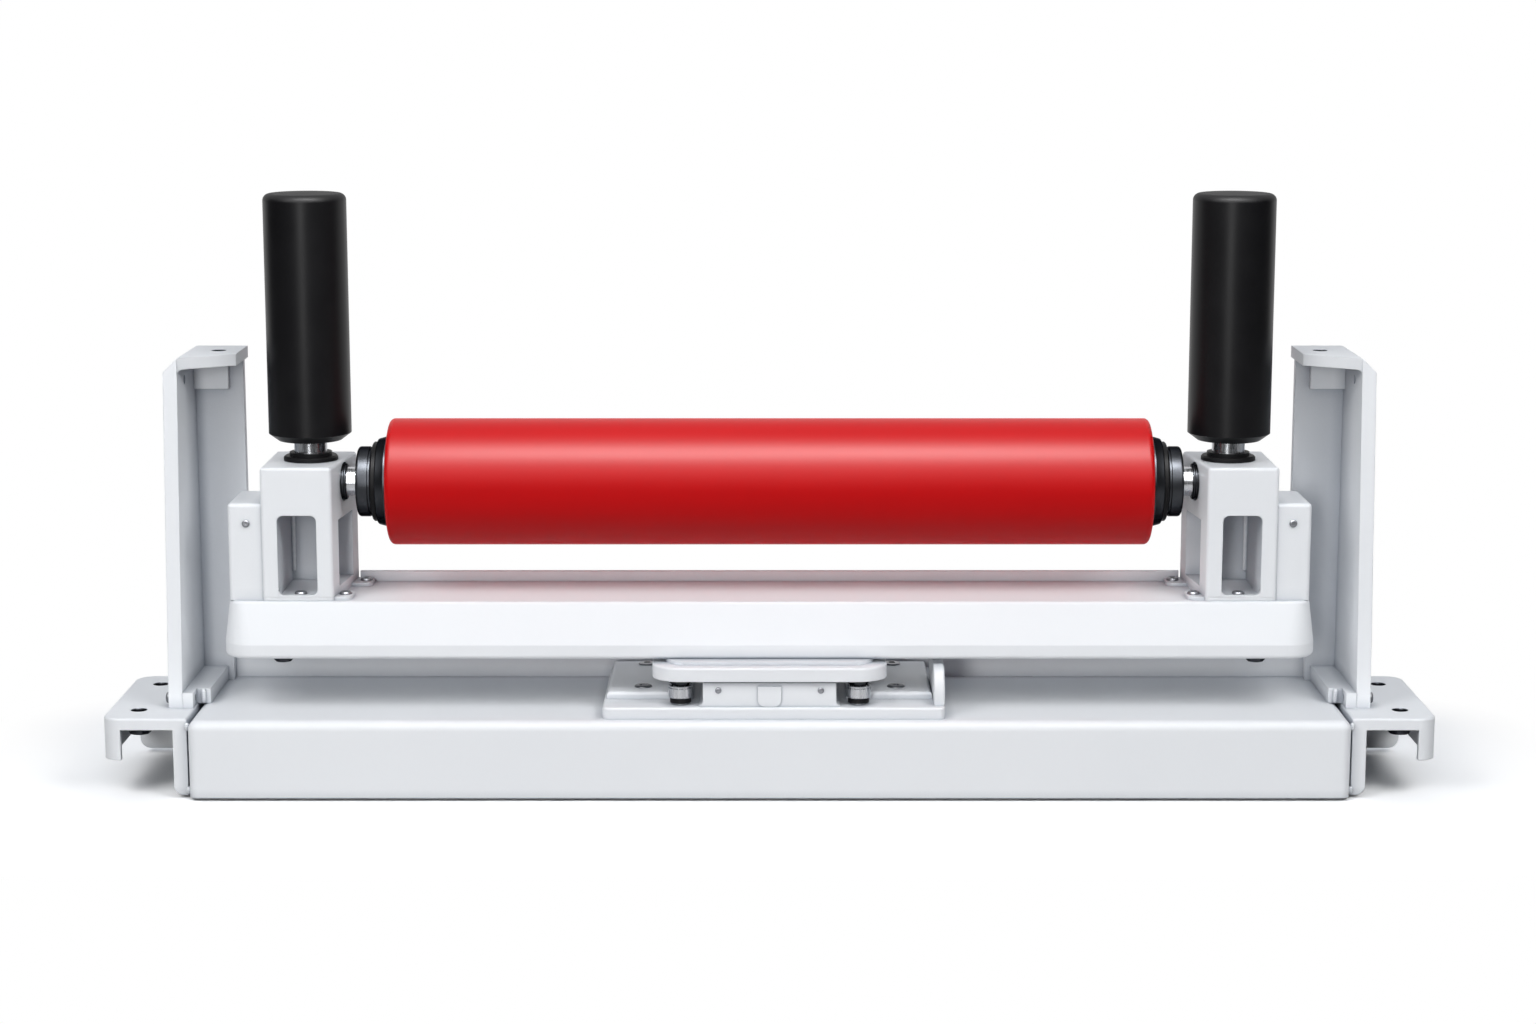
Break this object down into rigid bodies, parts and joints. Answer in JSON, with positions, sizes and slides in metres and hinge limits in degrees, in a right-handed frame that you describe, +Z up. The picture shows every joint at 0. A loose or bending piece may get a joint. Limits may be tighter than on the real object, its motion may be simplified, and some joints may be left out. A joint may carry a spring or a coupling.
{
  "type": "self-aligning return idler",
  "caption": "Self-aligning return idler: red lagged roller and upright edge guide rollers on a swivelling carrier beam, pivoted on a white base deck with end posts and feet.",
  "frame": {"origin": "on the floor under the pivot axis, at the middle of the base deck", "axes": "+X along the roller, +Y across it towards the back walls of the end posts, +Z up"},
  "size_m": [1.124, 0.182, 0.5015],
  "materials": {
    "white_paint": "satin powder coat",
    "red_lagging": "smooth gloss polyurethane",
    "black_polymer": "satin",
    "seal_rubber": "smooth",
    "black_steel": "blackened, turned",
    "bright_steel": "ground",
    "zinc_steel": "zinc plated",
    "bronze": "bearing bronze"
  },
  "bodies": {
    "base_frame": {"base_deck": "white_paint", "rear_rail": "white_paint", "left_foot": "white_paint", "right_foot": "white_paint", "left_end_post": "white_paint", "right_end_post": "white_paint", "gussets": "white_paint", "tie_bars": "white_paint", "foot_bosses": "black_steel", "tie_screws": "zinc_steel", "deck_bolts": "zinc_steel", "deck_nuts": "zinc_steel", "pivot_base_plate": "white_paint", "stop_plates": "white_paint", "stop_plate_bolts": "zinc_steel", "stop_plate_nuts": "zinc_steel", "pivot_housing": "white_paint", "housing_screws": "zinc_steel", "stop_lug": "white_paint", "pivot_bush": "bronze", "thrust_washer": "bronze"},
    "swivel_frame": {"king_pin": "bright_steel", "king_pin_washer": "bright_steel", "king_pin_nut": "zinc_steel", "swivel_plate": "white_paint", "spacer_plate": "white_paint", "stop_studs": "bright_steel", "stop_sleeves": "bright_steel", "stop_lock_nuts": "black_steel", "carrier_beam": "white_paint", "rear_upstand": "white_paint", "left_roller_block": "white_paint", "right_roller_block": "white_paint", "block_bases": "white_paint", "end_covers": "white_paint", "cover_screws": "zinc_steel", "block_bolts": "zinc_steel", "block_nuts": "zinc_steel", "roller_shaft": "bright_steel", "bearing_inner_rings": "bright_steel", "hub_caps": "black_steel", "shaft_collars": "black_steel", "guide_spindles": "bright_steel", "guide_inner_rings": "bright_steel", "spindle_nuts": "zinc_steel", "guide_collars": "seal_rubber"},
    "return_roller": {"roller_tube": "bright_steel", "roller_lagging": "red_lagging", "end_housings": "black_steel", "bearing_outer_rings": "bright_steel", "bearing_balls": "bright_steel", "roller_seals": "seal_rubber"},
    "left_guide": {"left_guide_shell": "black_polymer", "left_guide_outer_rings": "bright_steel", "left_guide_seal": "seal_rubber"},
    "right_guide": {"right_guide_shell": "black_polymer", "right_guide_outer_rings": "bright_steel", "right_guide_seal": "seal_rubber"},
    "left_stop": {"left_stop_roller": "black_polymer"},
    "right_stop": {"right_stop_roller": "black_polymer"}
  },
  "joints": [
    {"name": "frame_swivel", "type": "hinge", "parent": "base_frame", "child": "swivel_frame", "pos_m": [0, 0, 0.098], "axis": [0, 0, 1], "range_deg": [-5, 5]},
    {"name": "roller_spin", "type": "hinge", "parent": "swivel_frame", "child": "return_roller", "pos_m": [0, 0, 0.255], "axis": [1, 0, 0], "continuous": true},
    {"name": "left_guide_spin", "type": "hinge", "parent": "swivel_frame", "child": "left_guide", "pos_m": [-0.3914, 0, 0.39], "axis": [0, 0, 1], "continuous": true},
    {"name": "right_guide_spin", "type": "hinge", "parent": "swivel_frame", "child": "right_guide", "pos_m": [0.3914, 0, 0.39], "axis": [0, 0, 1], "continuous": true},
    {"name": "left_stop_spin", "type": "hinge", "parent": "swivel_frame", "child": "left_stop", "pos_m": [-0.075, -0.066, 0.0796], "axis": [0, 0, 1], "continuous": true},
    {"name": "right_stop_spin", "type": "hinge", "parent": "swivel_frame", "child": "right_stop", "pos_m": [0.075, -0.066, 0.0796], "axis": [0, 0, 1], "continuous": true}
  ]
}
